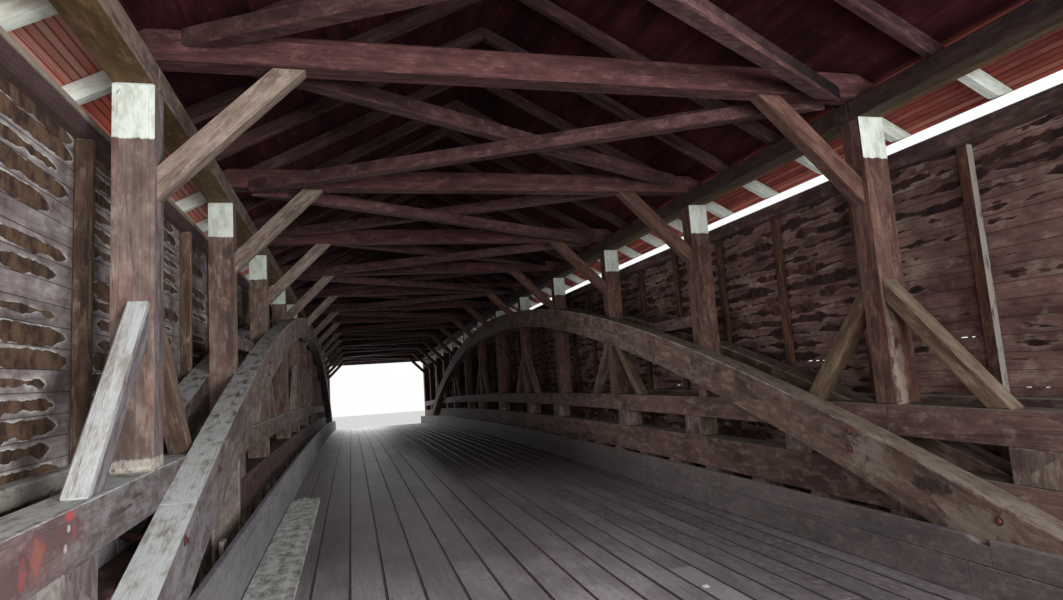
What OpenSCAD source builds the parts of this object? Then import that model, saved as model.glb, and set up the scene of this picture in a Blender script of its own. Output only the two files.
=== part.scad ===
// Covered timber road bridge: two trusses of posts and beams, each held between a pair of
// segmental timber arches, with a plank road, boarded side walls and a gabled roof.
// +Y runs along the road, +X is across it, +Z is up; the origin is below mid-span,
// at the foot of the abutments. Millimetres.

/* [Span] */
// Distance between the centres of two neighbouring posts
panel = 2680; // [2400:20:2760]
// Number of panels on each side of mid-span
half_panels = 7; // [6:1:8]
// Height of the road at mid-span over the abutments' foot
deck_z = 3000; // [2600:50:4000]
// Rise of the road at mid-span over the road at the end posts
camber = 317; // [100:1:500]

/* [Road] */
// Half width between the road-side faces of the trusses
clear_x = 2400; // [2200:10:2800]
// Thickness of the road planks
deck_t = 80; // [50:5:120]
// Half width of the road planks
deck_x = 2205; // [2000:5:2205]
// Road-side face of the curb, from the centre line
curb_x = 2160; // [2000:5:2165]
// Height of the left curb
left_curb_h = 450; // [300:10:480]
// Height of the right curb
right_curb_h = 360; // [250:10:480]
// Depth of the floor beams
floor_beam_d = 300; // [200:10:360]
// Width of the floor beams along the road
floor_beam_w = 200; // [140:10:260]

/* [Truss] */
// Width of the truss timbers across the road
truss_w = 220; // [180:10:260]
// Size of a post along the road
post_y = 190; // [150:5:240]
// Underside of the lower chord over the road
chord_lo = 330; // [250:10:400]
// Top of the lower chord over the road
chord_hi = 650; // [550:10:700]
// Underside of the hip beam that carries the posts
hip_lo = 870; // [800:10:900]
// Top of the hip beam
hip_hi = 1090; // [1000:10:1140]
// Size of a stub post along the road
stub_y = 360; // [190:10:400]
// Distance of the stub posts from the posts of their bay, in every second bay
stub_in = 310; // [250:10:500]
// Distance of the stub posts by the outermost struts' feet from these struts' posts
foot_stub = 1090; // [1000:10:1200]
// Underside of the top plate
plate_lo = 3260; // [3200:10:3400]
// Depth of the top plate
plate_d = 150; // [100:10:200]
// Height where the raking struts meet their post
strut_top = 2010; // [1700:10:2200]
// Distance of the strut's outer heel from the post's centre
strut_foot = 960; // [860:10:1100]
// Thickness of a raking strut
strut_t = 115; // [90:5:150]
// Width of a raking strut across the road
strut_w = 120; // [100:5:160]

/* [Arch] */
// Rise of the arch's back from its springing to the crown
arch_rise = 3877; // [3780:1:4100]
// Height of the arch's back over the road at mid-span
arch_top = 3010; // [2900:10:3050]
// Depth of the arch timbers
arch_d = 350; // [250:10:380]
// Thickness of the arch timbers across the road
arch_w = 190; // [120:5:190]
// Distance along the road between the splices of the arch timbers
splice = 3350; // [3000:10:3400]
// How far the arches' feet stand in front of the end posts
arch_foot = 1460; // [1300:10:1600]
// Underside of the level blocks between the arch timbers over the road
block_lo = 1880; // [1700:10:2100]
// Depth of these blocks
block_d = 130; // [100:5:200]
// Length of these blocks, from the fourth posts towards mid-span
block_run = 1130; // [900:10:1300]

/* [Cross frames] */
// Depth of the tie beams
tie_d = 190; // [150:5:220]
// Width of a tie beam along the road
tie_w = 170; // [120:5:190]
// Height where the lower edge of a knee brace meets its post
knee_foot = 2590; // [2500:10:2700]
// Height of a knee brace's bearing on its post
knee_h = 190; // [140:5:220]
// Width of a knee brace along the road
knee_w = 110; // [80:5:140]
// Width and depth of the braces between the tie beams
lateral_w = 120; // [80:5:130]
// Place across the road where these braces meet the tie beams
lateral_x = 2150; // [1700:10:2200]
// How far the lower ones hang below the tie beams
lateral_hang = 40; // [20:5:60]

/* [Walls] */
// Width of the wall rails and of the left wall's studs across the road
stud = 100; // [80:5:110]
// Size of a left wall stud along the road
left_stud_y = 60; // [50:5:100]
// Width of a right wall stud across the road
right_stud_w = 50; // [40:5:80]
// Size of a right wall stud along the road
right_stud_y = 105; // [60:5:120]
// Thickness of the siding boards
siding_t = 25; // [20:1:40]
// Top of the left wall over the road
left_wall_top = 3190; // [3000:10:3190]
// Top of the right wall over the road
right_wall_top = 3030; // [2900:10:3190]
// How far the siding hangs below the road
wall_drop = 350; // [300:10:370]
// Height of the left wall's top rail
left_top_rail = 150; // [90:10:260]
// Height of the right wall's top rail
right_top_rail = 130; // [80:10:260]
// Height of the middle rail's underside
mid_rail = 1030; // [1000:10:1300]
// Distance between the studs of the left wall
left_stud_step = 1300; // [1000:10:1400]
// Distance between the studs of the right wall
right_stud_step = 1120; // [1000:10:1400]
// Place of the left wall's stud next to mid-span
left_stud_at = -130; // [-300:10:300]
// Place of the right wall's stud next to mid-span
right_stud_at = 660; // [300:10:700]
// How far the walls run past the centres of the end posts
wall_past = 370; // [300:10:450]

/* [Roof] */
// Slope of the roof, degrees
roof_angle = 27.9; // [26:0.1:30]
// Number of rafter pairs in a panel
rafters_n = 3; // [3, 4]
// Distance of the first of them from the post's centre
rafter_at = 200; // [170:5:260]
// Width of a rafter along the road
rafter_w = 75; // [60:5:130]
// Depth of a rafter
rafter_d = 115; // [100:5:150]
// Depth of the notch that seats a rafter on the top plate
seat = 25; // [15:1:35]
// Thickness of the roof boards and their covering
roof_t = 45; // [30:5:60]
// Eave edge from the centre line
eave_x = 3160; // [3120:10:3200]
// How far the level cut of the rafters' tails reaches in from the eave
tail_cut = 160; // [100:10:240]
// How far the roof runs past the end walls
verge = 110; // [50:10:200]

/* [Abutments] */
// Half width of the stone abutments
abut_x = 3050; // [2950:10:3200]
// Width of the bench in front of the arches' feet
bench = 300; // [150:10:500]

/* [Hidden] */

// Gap between timbers that follow each other end to end
joint_gap = 4;
// Chords that one arch timber's curve is drawn with
arch_chords = 4;
// Clearance between the arches and the wall studs
stud_gap = 10;
// Clearance between a tie beam's cut ends and the roof boards
roof_gap = 5;
// How far the roof boards' edge stands past the tips of the rafters
tip_back = 5;

// Whole number of panels on each side of mid-span
half_n = round(half_panels);
truss_out = clear_x + truss_w;
arch_in = clear_x - arch_w;
arch_out = truss_out + arch_w;
end_post = half_n * panel;
spring_y = end_post - arch_foot;
arch_r = (spring_y * spring_y + arch_rise * arch_rise) / 2 / arch_rise;
spring_a = asin(spring_y / arch_r);
arch_cz = deck_z + arch_top - arch_r;
splices = floor(spring_y / splice - 0.3);
stud_in = arch_out + stud_gap;
stud_out = stud_in + stud;
plate_hi = plate_lo + plate_d;
slope = tan(roof_angle);
rafter_v = rafter_d / cos(roof_angle);
// Rafters' underside and top on the centre line
under_0 = plate_hi + slope * truss_out - seat;
over_0 = under_0 + rafter_v;
rafter_step = panel / rafters_n;
beam_step = panel / 3;
gable_y = end_post + wall_past;
end_y = gable_y + siding_t;
beam_lo = -deck_t - floor_beam_d;
sill_hi = 20;

// Drop of the road line at panel point j, and height of the road line at any place y
function drop(j) = -camber * pow(j / half_n, 2);
function road_z(y) = let (s = abs(y) / panel, j = floor(s))
    deck_z + drop(j) + (s - j) * (drop(j + 1) - drop(j));

// Places where a timber from y0 to y1 bends with the road line, both ends included
function bends(y0, y1) = concat(
    [y0],
    [for (j = [-half_n:half_n]) if (j * panel > y0 + 1 && j * panel < y1 - 1) j * panel],
    [y1]
);

// Timbers of two panels each, laid end to end over the whole length
function runs(y_end) = [for (i = [0:half_n - 1]) [
    i == 0 ? -y_end : (2 * i - half_n) * panel + joint_gap / 2,
    i == half_n - 1 ? y_end : (2 * i + 2 - half_n) * panel - joint_gap / 2
]];

// A side view, points [y, z], made x0 to x1 thick
module side_view(points, x0, x1) {
    translate([x0, 0, 0]) rotate([90, 0, 90]) linear_extrude(x1 - x0) polygon(points);
}

// A timber along the road from y0 to y1, between two heights over the road line
module strip(y0, y1, lo, hi, x0, x1) {
    ys = bends(y0, y1);
    n = len(ys);
    side_view(concat(
        [for (i = [0:n - 1]) [ys[i], road_z(ys[i]) + lo]],
        [for (i = [n - 1:-1:0]) [ys[i], road_z(ys[i]) + hi]]
    ), x0, x1);
}

// A side view whose heights count from the road line
module lifted_view(points, x0, x1) {
    side_view([for (p = points) [p[0], road_z(p[0]) + p[1]]], x0, x1);
}

// A cross section, points [x, z] over the road line, carried through the places ys;
// its first point sees all the others
module loft(ys, section) {
    n = len(section);
    m = len(ys);
    polyhedron(
        points = [for (y = ys) for (p = section) [p[0], y, road_z(y) + p[1]]],
        faces = concat(
            [[for (i = [n - 1:-1:0]) i]],
            [[for (i = [0:n - 1]) (m - 1) * n + i]],
            [for (k = [0:m - 2]) for (i = [0:n - 1])
                [k * n + i, k * n + (i + 1) % n, (k + 1) * n + (i + 1) % n, (k + 1) * n + i]]
        )
    );
}

// A plan view, points [x, y], between two heights over the road line, inside one panel
module plan_view(points, lo, hi) {
    n = len(points);
    polyhedron(
        points = concat(
            [for (p = points) [p[0], p[1], road_z(p[1]) + lo]],
            [for (p = points) [p[0], p[1], road_z(p[1]) + hi]]
        ),
        faces = concat(
            [[for (i = [0:n - 1]) i]],
            [[for (i = [n - 1:-1:0]) n + i]],
            [for (i = [0:n - 1]) [i, n + i, n + (i + 1) % n, (i + 1) % n]]
        )
    );
}

module on_side(s) {
    if (s > 0) children();
    else mirror([1, 0, 0]) children();
}

module in_runs(y_end, lo, hi, x0, x1) {
    for (r = runs(y_end)) strip(r[0], r[1], lo, hi, x0, x1);
}

// Trusses

module posts(s) {
    color([0.42, 0.36, 0.28]) on_side(s)
        for (j = [-half_n:half_n])
            strip(j * panel - post_y / 2, j * panel + post_y / 2, hip_hi, plate_lo, clear_x, truss_out);
}

module hip_beam(s) {
    color([0.40, 0.34, 0.27]) on_side(s)
        in_runs(end_post + post_y / 2, hip_lo, hip_hi, clear_x, truss_out);
}

module lower_chord(s) {
    color([0.36, 0.31, 0.25]) on_side(s)
        in_runs(end_post + post_y / 2, chord_lo, chord_hi, clear_x, truss_out);
}

function strut_run() = strut_foot - post_y / 2;
function strut_rise() = strut_top - hip_hi;
function strut_angle() = atan(strut_rise() / strut_run());
function strut_inner() = strut_foot - strut_t / sin(strut_angle());
function strutted(j) = (j + half_n) % 2 == 0 && abs(j) < half_n;

module stub_posts(s) {
    outer = (half_n - 2) * panel;
    inner_bays = [for (j = [half_n - 3:-2:1], y = [(j - 1) * panel + stub_in, j * panel - stub_in]) y];
    outer_bays = [outer - foot_stub, outer + foot_stub, end_post - panel, end_post - (stub_y - post_y) / 2];
    places = concat(inner_bays, outer_bays);
    middle = half_n % 2 == 1 ? [0] : [];
    color([0.38, 0.33, 0.26]) on_side(s)
        for (y = concat(middle, places, -places))
            strip(y - stub_y / 2, y + stub_y / 2, chord_hi, hip_lo, clear_x, truss_out);
}

// The arch stands in the way of the floor beams at two places near each foot
function arch_z(y, r) = arch_cz + sqrt(r * r - y * y);
function beam_meets_arch(y) =
    arch_z(abs(y) - floor_beam_w, arch_r) > road_z(y) + beam_lo
    && arch_z(abs(y) + floor_beam_w, arch_r - arch_d) < road_z(y) - deck_t
    && abs(y) < spring_y - floor_beam_w;

module foot_blocks(s) {
    color([0.34, 0.30, 0.24]) on_side(s)
        for (k = [-3 * half_n:3 * half_n])
            if (!beam_meets_arch(k * beam_step)) {
                y = k * beam_step;
                strip(y - floor_beam_w / 2, y + floor_beam_w / 2, -deck_t, chord_lo, clear_x, truss_out);
            }
}

module top_plate(s) {
    color([0.45, 0.38, 0.26]) on_side(s)
        in_runs(gable_y, plate_lo, plate_hi, clear_x, truss_out);
}

module struts(s) {
    thick = strut_t / cos(strut_angle());
    color([0.41, 0.35, 0.27]) on_side(s)
        for (j = [-half_n:half_n]) if (strutted(j)) for (d = [-1, 1])
            lifted_view([
                [j * panel + d * strut_foot, hip_hi],
                [j * panel + d * post_y / 2, strut_top],
                [j * panel + d * post_y / 2, strut_top - thick],
                [j * panel + d * strut_inner(), hip_hi]
            ], clear_x + 20, clear_x + 20 + strut_w);
}

// Arches: timbers sawn to the curve, butted at the splices

function arc_point(a, r) = [r * sin(a), arch_cz + r * cos(a)];

module arch_timber(y0, y1, x0, x1) {
    slack = joint_gap / 2 / arch_r * 180 / PI;
    a0 = asin(y0 / arch_r) + (y0 > -spring_y ? slack : 0);
    a1 = asin(y1 / arch_r) - (y1 < spring_y ? slack : 0);
    step = (a1 - a0) / arch_chords;
    side_view(concat(
        [for (i = [0:arch_chords]) arc_point(a0 + i * step, arch_r - arch_d)],
        [for (i = [arch_chords:-1:0]) arc_point(a0 + i * step, arch_r)]
    ), x0, x1);
}

module arch(x0, x1) {
    for (i = [0:splices]) {
        y0 = i * splice;
        y1 = i == splices ? spring_y : (i + 1) * splice;
        arch_timber(y0, y1, x0, x1);
        arch_timber(-y1, -y0, x0, x1);
    }
}

module inner_arch(s) {
    color([0.44, 0.39, 0.31]) on_side(s) arch(arch_in, clear_x);
}

module outer_arch(s) {
    color([0.42, 0.37, 0.30]) on_side(s) arch(truss_out, arch_out);
}

// Level blocks between the fourth posts and the arch timbers
module arch_blocks(s) {
    y1 = 4 * panel - post_y / 2;
    color([0.43, 0.37, 0.29]) on_side(s) for (d = [0, 1]) mirror([0, d, 0])
        strip(y1 - block_run, y1, block_lo, block_lo + block_d, clear_x, truss_out);
}

// Cross frames

module knee_braces(s) {
    reach = plate_hi - knee_foot;
    color([0.40, 0.33, 0.25]) on_side(s) difference() {
        for (j = [-half_n:half_n])
            loft(bends(j * panel - knee_w / 2, j * panel + knee_w / 2), [
                [clear_x, knee_foot],
                [clear_x, knee_foot + knee_h],
                [clear_x - reach + knee_h, plate_hi],
                [clear_x - reach, plate_hi]
            ]);
        arch(arch_in, clear_x + 1);
    }
}

module tie_beams() {
    top = plate_hi + tie_d;
    cut = over_0 - roof_gap;
    color([0.42, 0.25, 0.18])
        for (j = [-half_n:half_n])
            loft(bends(j * panel - post_y / 2, j * panel - post_y / 2 + tie_w), [
                [-truss_out, plate_hi],
                [-truss_out, cut - slope * truss_out],
                [-(cut - top) / slope, top],
                [(cut - top) / slope, top],
                [truss_out, cut - slope * truss_out],
                [truss_out, plate_hi]
            ]);
}

// Crossed braces between the tie beams: one passes over the other, by turns from bay to bay
module lateral_braces() {
    lo = plate_hi - lateral_hang;
    run = panel - tie_w;
    half_w = lateral_w / 2 / cos(atan(2 * lateral_x / run));
    color([0.45, 0.36, 0.26])
        for (j = [-half_n:half_n - 1], over = [0, 1]) {
            y0 = j * panel - post_y / 2 + tie_w;
            d = (j + half_n + over) % 2 == 0 ? 1 : -1;
            lift = over * (lateral_w + joint_gap);
            plan_view([
                [d * lateral_x - half_w, y0],
                [d * lateral_x + half_w, y0],
                [-d * lateral_x + half_w, y0 + run],
                [-d * lateral_x - half_w, y0 + run]
            ], lo + lift, lo + lift + lateral_w);
        }
}

// Roof

// The same rafters in every panel, clear of the tie beams, and one pair at each end wall
function rafter_places() = let (end = gable_y - rafter_w / 2) concat(
    [-end],
    [for (k = [-rafters_n * half_n:rafters_n * half_n])
        if (abs(rafter_at + k * rafter_step) < end - rafter_step / 3) rafter_at + k * rafter_step],
    [end]
);

module rafters(s) {
    tip = eave_x - tip_back;
    heel = eave_x - tail_cut;
    color([0.46, 0.37, 0.26]) on_side(s)
        for (y = rafter_places()) {
            loft([y - rafter_w / 2, y + rafter_w / 2], [
                [truss_out, plate_hi],
                [(under_0 - plate_hi) / slope, plate_hi],
                [0, under_0],
                [0, over_0],
                [tip, over_0 - slope * tip],
                [heel, under_0 - slope * heel],
                [truss_out, under_0 - slope * truss_out]
            ]);
        }
}

module roof(s) {
    v = roof_t / cos(roof_angle);
    color([0.36, 0.17, 0.14]) on_side(s) for (r = runs(end_y + verge))
        loft(bends(r[0], r[1]), [
            [0, over_0],
            [0, over_0 + v],
            [eave_x, over_0 + v - slope * eave_x],
            [eave_x, over_0 - slope * eave_x]
        ]);
}

// Walls

function wall_top(s) = s > 0 ? right_wall_top : left_wall_top;
function top_rail_lo(s) = wall_top(s) - (s > 0 ? right_top_rail : left_top_rail);

module siding(s) {
    color([0.50, 0.46, 0.40]) on_side(s)
        in_runs(gable_y, -wall_drop, wall_top(s), stud_out, stud_out + siding_t);
}

function stud_y(s) = s > 0 ? right_stud_y : left_stud_y;
function stud_places(s, step, at) = let (end = gable_y - stud_y(s) / 2, n = floor(gable_y / step) + 1) concat(
    [-end],
    [for (k = [-n:n]) if (abs(at + k * step) < end - step / 3) at + k * step],
    [end]
);

// Short studs from the sill to the middle rail, long ones from there to the top rail
module studs(s) {
    step = s > 0 ? right_stud_step : left_stud_step;
    at = s > 0 ? right_stud_at : left_stud_at;
    half = stud_y(s) / 2;
    x0 = s > 0 ? stud_out - right_stud_w : stud_in;
    color([0.44, 0.38, 0.30]) on_side(s)
        for (y = stud_places(s, step, at)) {
            strip(y - half, y + half, sill_hi, mid_rail, x0, stud_out);
            strip(y - half, y + half, mid_rail + stud, top_rail_lo(s), x0, stud_out);
        }
}

module wall_rails(s) {
    color([0.43, 0.38, 0.31]) on_side(s) {
        in_runs(gable_y, -deck_t, sill_hi, stud_in, stud_out);
        in_runs(gable_y, mid_rail, mid_rail + stud, stud_in, stud_out);
        in_runs(gable_y, top_rail_lo(s), wall_top(s), stud_in, stud_out);
    }
}

module curb(s) {
    color([0.45, 0.42, 0.38]) on_side(s)
        in_runs(gable_y, 0, s > 0 ? right_curb_h : left_curb_h, curb_x, deck_x);
}

// Floor

module floor_beams() {
    color([0.33, 0.28, 0.22])
        for (k = [-3 * half_n:3 * half_n]) {
            y = k * beam_step;
            x = beam_meets_arch(y) ? arch_in : stud_out;
            strip(y - floor_beam_w / 2, y + floor_beam_w / 2, beam_lo, -deck_t, -x, x);
        }
}

module deck() {
    color([0.48, 0.47, 0.45])
        in_runs(end_y, -deck_t, 0, -deck_x, deck_x);
}

// End walls and abutments

module portal(s) {
    out = stud_out + siding_t;
    z = road_z(gable_y);
    color([0.50, 0.44, 0.37])
        translate([0, s > 0 ? gable_y + siding_t : -gable_y, z]) rotate([90, 0, 0]) linear_extrude(siding_t)
            difference() {
                polygon([
                    [-out, -wall_drop],
                    [-out, over_0 - roof_gap - slope * out],
                    [0, over_0 - roof_gap],
                    [out, over_0 - roof_gap - slope * out],
                    [out, -wall_drop]
                ]);
                translate([-clear_x, -wall_drop - 1]) square([2 * clear_x, plate_lo + wall_drop + 1]);
            }
}

module abutment(s) {
    foot = arc_point(spring_a, arch_r - arch_d);
    back = arc_point(spring_a, arch_r);
    end = end_y;
    color([0.50, 0.48, 0.44]) mirror([0, s > 0 ? 0 : 1, 0])
        side_view(concat(
            [
                [foot[0] - bench, 0],
                [foot[0] - bench, foot[1]],
                foot,
                back
            ],
            [for (y = bends(back[0], end)) [y, road_z(y) + beam_lo]],
            [[end, 0]]
        ), -abut_x, abut_x);
}

posts(-1);  // left_posts
posts(1);  // right_posts
hip_beam(-1);  // left_hip_beam
hip_beam(1);  // right_hip_beam
lower_chord(-1);  // left_lower_chord
lower_chord(1);  // right_lower_chord
stub_posts(-1);  // left_stub_posts
stub_posts(1);  // right_stub_posts
foot_blocks(-1);  // left_foot_blocks
foot_blocks(1);  // right_foot_blocks
top_plate(-1);  // left_top_plate
top_plate(1);  // right_top_plate
inner_arch(-1);  // left_inner_arch
inner_arch(1);  // right_inner_arch
outer_arch(-1);  // left_outer_arch
outer_arch(1);  // right_outer_arch
struts(-1);  // left_struts
struts(1);  // right_struts
arch_blocks(-1);  // left_arch_blocks
arch_blocks(1);  // right_arch_blocks
knee_braces(-1);  // left_knee_braces
knee_braces(1);  // right_knee_braces
tie_beams();
lateral_braces();
rafters(-1);  // left_rafters
rafters(1);  // right_rafters
roof(-1);  // left_roof
roof(1);  // right_roof
siding(-1);  // left_siding
siding(1);  // right_siding
studs(-1);  // left_studs
studs(1);  // right_studs
wall_rails(-1);  // left_wall_rails
wall_rails(1);  // right_wall_rails
curb(-1);  // left_curb
curb(1);  // right_curb
floor_beams();
deck();
portal(-1);  // near_portal
portal(1);  // far_portal
abutment(-1);  // near_abutment
abutment(1);  // far_abutment
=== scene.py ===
"""Covered timber road bridge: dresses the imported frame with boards, planks, shingles, bolts and weathered
finishes, and looks along the road from near the left truss. Metres, in the frame of the CAD model."""
import math
import random
from functools import partialmethod

import bpy
from mathutils import Matrix, Vector


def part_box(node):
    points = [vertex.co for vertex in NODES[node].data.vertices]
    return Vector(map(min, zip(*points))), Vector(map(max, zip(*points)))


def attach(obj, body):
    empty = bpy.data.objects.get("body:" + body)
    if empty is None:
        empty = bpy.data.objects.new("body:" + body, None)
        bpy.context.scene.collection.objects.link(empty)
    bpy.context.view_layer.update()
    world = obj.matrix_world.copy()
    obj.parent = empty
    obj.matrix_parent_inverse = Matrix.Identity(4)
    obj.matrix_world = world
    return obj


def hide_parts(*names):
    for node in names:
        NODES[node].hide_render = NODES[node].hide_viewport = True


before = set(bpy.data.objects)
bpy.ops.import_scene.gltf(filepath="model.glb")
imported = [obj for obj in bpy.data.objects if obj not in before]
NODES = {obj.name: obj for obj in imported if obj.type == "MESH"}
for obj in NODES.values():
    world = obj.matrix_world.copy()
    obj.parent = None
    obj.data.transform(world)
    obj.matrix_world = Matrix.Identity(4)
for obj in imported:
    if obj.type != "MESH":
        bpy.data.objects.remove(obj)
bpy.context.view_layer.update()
random.seed(7)

# The sides of the road and the ends of the bridge, as used in the names of nodes
SIDES = {-1: "left", 1: "right"}
ENDS = {-1: "near", 1: "far"}

# The road line, which every timber but the arches follows
PANEL = 2.68
HALF_PANELS = 7
END_POST = PANEL * HALF_PANELS
CAMBER = 0.317
ROAD_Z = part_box("deck")[1].z


def across(name):
    """Where a node on the right begins and ends, counted from the centre line."""
    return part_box(name)[0].x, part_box(name)[1].x


def top_of(name):
    """Height of a node's top over the road at mid-span."""
    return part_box(name)[1].z - ROAD_Z


# Places across the road and heights over the road line
POST_IN, POST_OUT = across("right_posts")
SIDING_IN, SIDING_OUT = across("right_siding")
RAIL_IN, RAIL_OUT = across("right_wall_rails")
ARCH_IN = across("right_inner_arch")[0]
PLATE_LO = 3.26
CHORD_TOP = top_of("left_lower_chord")
WALL_TOP = {side: top_of(f"{word}_siding") for side, word in SIDES.items()}
WALL_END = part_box("right_siding")[1].y
WALL_DROP = 0.35
DECK_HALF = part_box("deck")[1].x
DECK_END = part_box("deck")[1].y
DECK_T = 0.08
CURB_IN = 2.16
CURB_TOP = {side: top_of(f"{word}_curb") for side, word in SIDES.items()}

# The roof: its boards lie on the rafters, from the ridge to the eaves; UP turns a thickness into a height
ROOF_ANGLE = math.radians(27.9)
SLOPE = math.tan(ROOF_ANGLE)
UP = 1 / math.cos(ROOF_ANGLE)
ROOF_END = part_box("right_roof")[1].y
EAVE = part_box("right_roof")[1].x
ROOF_T = 0.045
BOARDS_LO = top_of("right_roof") - ROOF_T * UP
GABLE_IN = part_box("far_portal")[0].y
GABLE_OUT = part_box("far_portal")[1].y

# The wall rails: heights of the sill's top and the middle rail's foot, and how tall the top rails are
SILL_TOP = 0.02
MID_RAIL = 1.03
TOP_RAIL = {-1: 0.15, 1: 0.13}

# Spacing of the wall studs and the place of one of them
STUD_STEP = {-1: 1.30, 1: 1.12}
STUD_AT = {-1: -0.13, 1: 0.66}

# The arches' circle, their depth and the spacing of their splices
ARCH_R = 40.5366
ARCH_D = 0.35
ARCH_CENTRE_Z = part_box("right_inner_arch")[1].z - ARCH_R
SPLICE = 3.35

# Height of one siding board, and of one course of shingles along the slope
BOARD_H = 0.118
COURSE = 0.150

# A board's end stops short of its joint by this much, and no board is shorter than that
END_GAP = 0.001
SHORTEST = 1.0


def road_z(y):
    """Height of the road line at y: straight between posts, lower towards both ends."""
    s = abs(y) / PANEL
    j = math.floor(s)
    low, high = (-CAMBER * (k / HALF_PANELS) ** 2 for k in (j, j + 1))
    return ROAD_Z + low + (s - j) * (high - low)


def arch_z(y, r):
    """Height of an arch line of radius r at y."""
    return ARCH_CENTRE_Z + math.sqrt(r * r - y * y)


def places(y0, y1, gap=END_GAP):
    """Places where a board from y0 to y1 needs a cross section: its ends and the road line's bends."""
    y0, y1 = y0 + gap, y1 - gap
    bends = [j * PANEL for j in range(-HALF_PANELS, HALF_PANELS + 1)]
    return [y0, *(y for y in bends if y0 < y < y1), y1]


def lengths(end, low, high):
    """Random board lengths that fill the way from -end to end."""
    out = []
    y = -end
    while y < end - 0.01:
        top = min(y + random.uniform(low, high), end)
        if end - top < SHORTEST:
            top = end
        out.append((y, top))
        y = top
    return out


def placed(name, data):
    """A new object in the scene."""
    obj = bpy.data.objects.new(name, data)
    bpy.context.scene.collection.objects.link(obj)
    return obj


class Pile:
    """Gathers swept boards into one mesh; its UV map runs along and across each board, in metres."""

    def __init__(self, name):
        self.name = name
        self.verts = []
        self.faces = []
        self.uvs = []

    def sweep(self, rings):
        """A board through rings of corners, closed at both ends. Corners run so that faces look outwards."""
        n = len(rings[0])
        base = len(self.verts)
        u0, v0 = random.uniform(0, 40), random.uniform(0, 40)
        along = [u0]
        for a, b in zip(rings, rings[1:]):
            along.append(along[-1] + (Vector(b[0]) - Vector(a[0])).length)
        around = [v0]
        for i in range(n):
            around.append(around[-1] + (Vector(rings[0][(i + 1) % n]) - Vector(rings[0][i])).length)
        for ring in rings:
            self.verts += [tuple(p) for p in ring]
        for k in range(len(rings) - 1):
            for i in range(n):
                j = (i + 1) % n
                self.faces.append((base + k * n + i, base + k * n + j,
                                   base + (k + 1) * n + j, base + (k + 1) * n + i))
                self.uvs += [(along[k], around[i]), (along[k], around[i + 1]),
                             (along[k + 1], around[i + 1]), (along[k + 1], around[i])]
        last = base + (len(rings) - 1) * n
        for first, order in ((base, range(n - 1, -1, -1)), (last, range(n))):
            self.faces.append(tuple(first + i for i in order))
            self.uvs += [(u0 + 0.02 * (i % 2), around[i]) for i in order]

    def board(self, side, y, end, corners, gap=END_GAP):
        """A board along the road line with the same cross section all the way."""
        self.sweep([mirrored(side, q, corners) for q in places(y, end, gap)])

    def piece(self, material, slot, *replaced):
        """The finished object; replaced names the CAD nodes whose place it takes."""
        mesh = bpy.data.meshes.new(self.name)
        mesh.from_pydata(self.verts, [], self.faces)
        layer = mesh.uv_layers.new(name="board")
        layer.data.foreach_set("uv", [c for uv in self.uvs for c in uv])
        mesh.materials.append(material)
        mesh.update()
        obj = placed(self.name, mesh)
        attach(obj, "root")
        if replaced:
            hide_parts(*replaced)


def mirrored(side, y, corners):
    """A cross section at y on one side, from distances to the centre line and heights over the road line."""
    ring = [(side * x, y, road_z(y) + h) for x, h in corners]
    return ring if side > 0 else ring[::-1]


def rect(x0, x1, lo, hi):
    """Corners of a plain cross section, x0 below x1."""
    return [(x0, lo), (x0, hi), (x1, hi), (x1, lo)]


# Materials


def srgb(r, g, b):
    """A colour given as 0 to 255 on screen, as linear light."""
    return tuple((c / 255 / 12.92) if c <= 10 else ((c / 255 + 0.055) / 1.055) ** 2.4 for c in (r, g, b))


def shade(colour, amount):
    """A screen colour made darker, as linear light."""
    return tuple(c * amount for c in srgb(*colour))


class Nodes:
    """The node tree of a material or of the world."""

    def __init__(self, owner):
        owner.use_nodes = True
        self.tree = owner.node_tree
        self.tree.nodes.clear()

    def put(self, socket, value):
        """Links or sets a socket. A colour in whole numbers is a screen colour, any other linear light."""
        if isinstance(value, bpy.types.NodeSocket):
            self.tree.links.new(value, socket)
        elif isinstance(value, tuple) and socket.type == "RGBA":
            light = srgb(*value) if isinstance(value[0], int) else value
            socket.default_value = (*light, 1.0)
        else:
            socket.default_value = value

    def node(self, kind, inputs=(), **settings):
        """A new node with its settings and its inputs, each given as number or name and value."""
        node = self.tree.nodes.new(f"ShaderNode{kind}")
        for key, value in settings.items():
            setattr(node, key, value)
        for key, value in inputs:
            self.put(node.inputs[key], value)
        return node


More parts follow.
